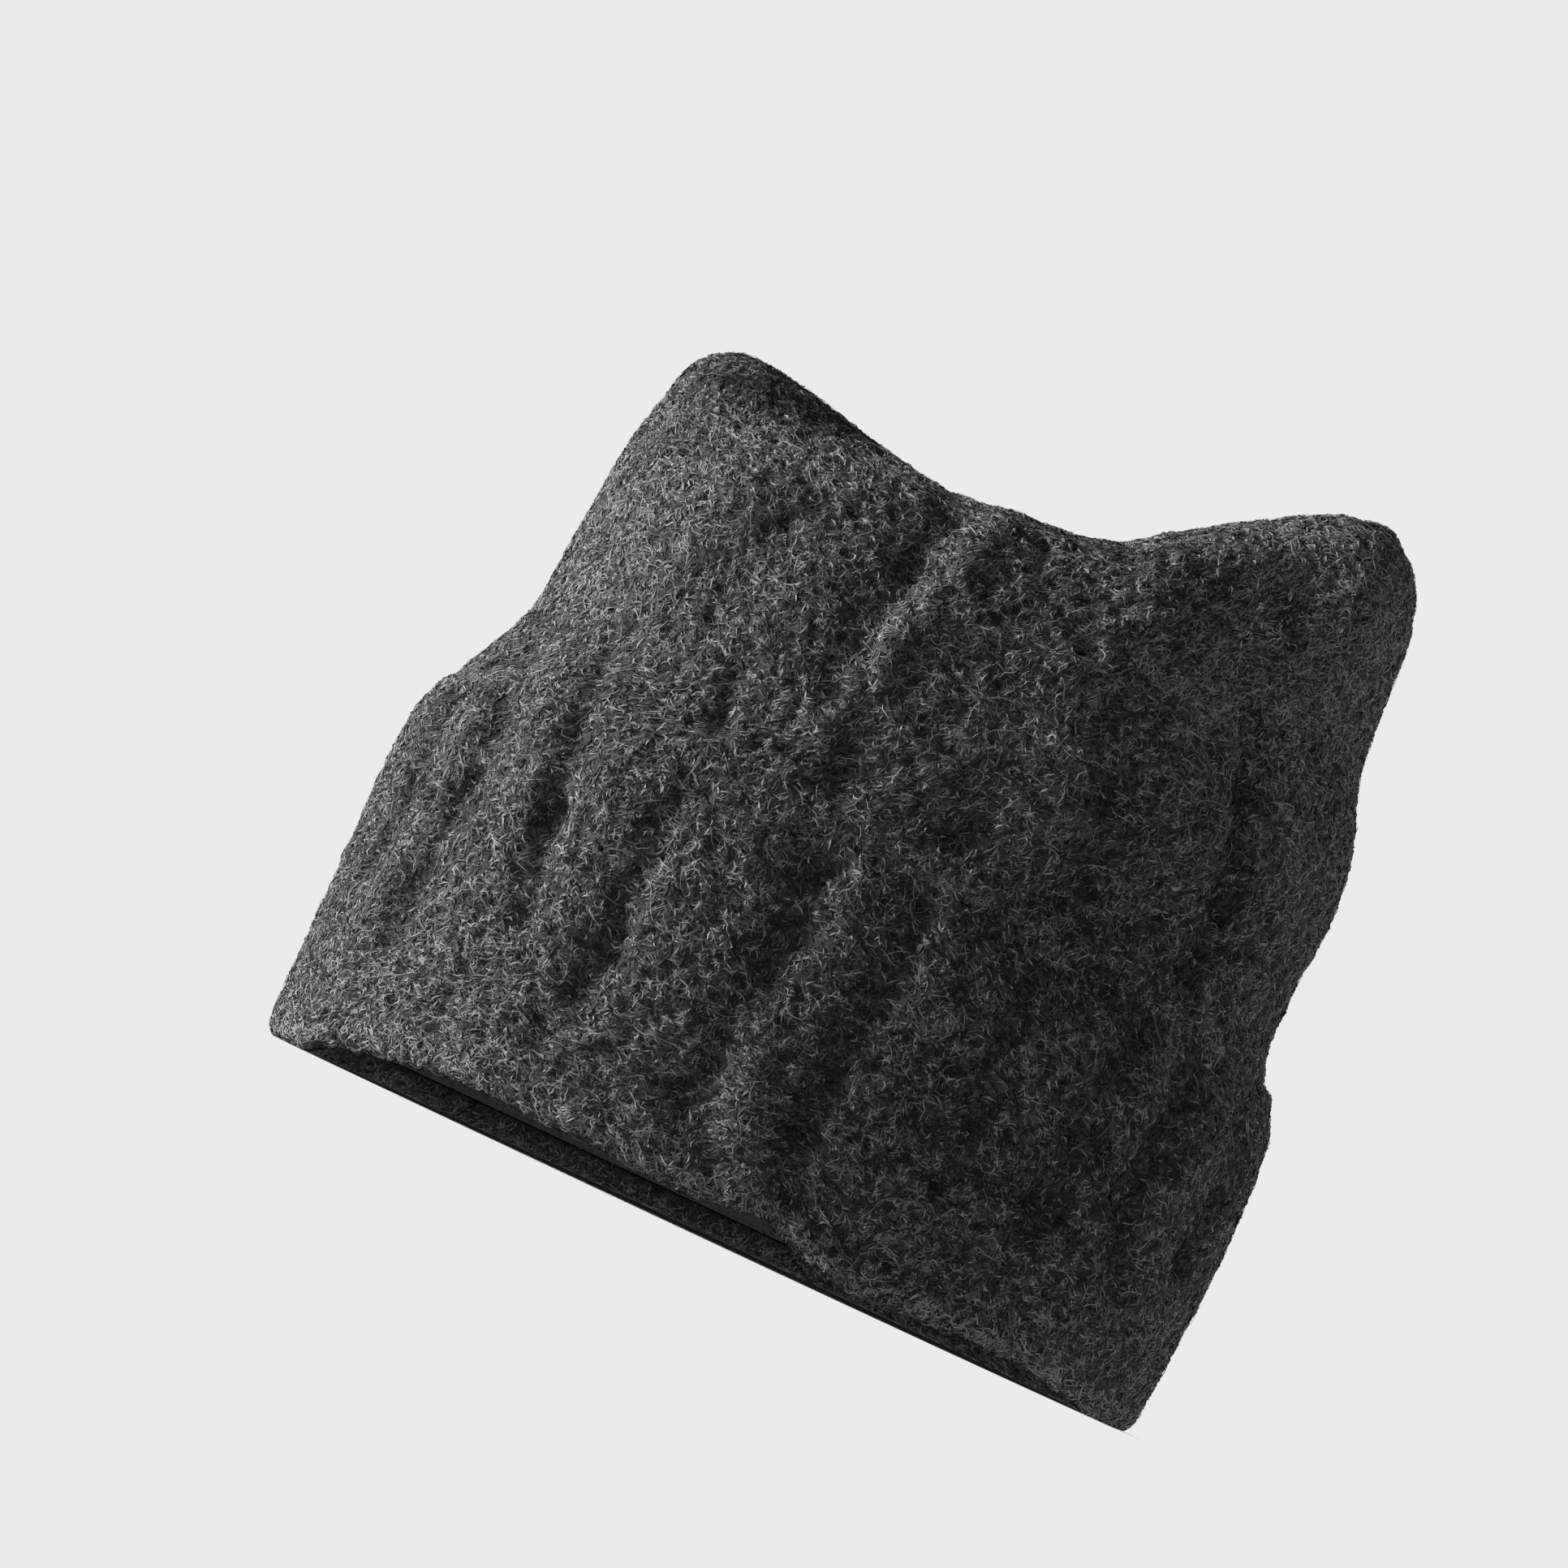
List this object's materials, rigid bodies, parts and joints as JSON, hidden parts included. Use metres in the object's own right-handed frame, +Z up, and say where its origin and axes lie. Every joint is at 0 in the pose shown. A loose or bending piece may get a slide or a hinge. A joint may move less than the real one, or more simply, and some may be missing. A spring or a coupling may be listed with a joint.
{
  "type": "cat ear beanie",
  "caption": "Brushed knit beanie with two soft cat ears at its top corners, a turned-up ribbed cuff and a smooth lining, standing on its rim.",
  "frame": {"origin": "on the ground under the middle of the hat's box, where the rim rests", "axes": "+X towards the ear on the right of the front view, -Y towards the front, +Z up from the rim to the ears"},
  "size_m": [0.2114, 0.1608, 0.2054],
  "materials": {
    "crown_knit": "brushed charcoal heather knit with a curly wool nap",
    "cuff_knit": "brushed charcoal heather rib knit with a curly wool nap",
    "lining_fleece": "smooth, short-napped near-black lining cloth"
  },
  "bodies": {
    "root": {"crown": "crown_knit", "cuff": "cuff_knit", "lining": "lining_fleece"}
  },
  "joints": []
}
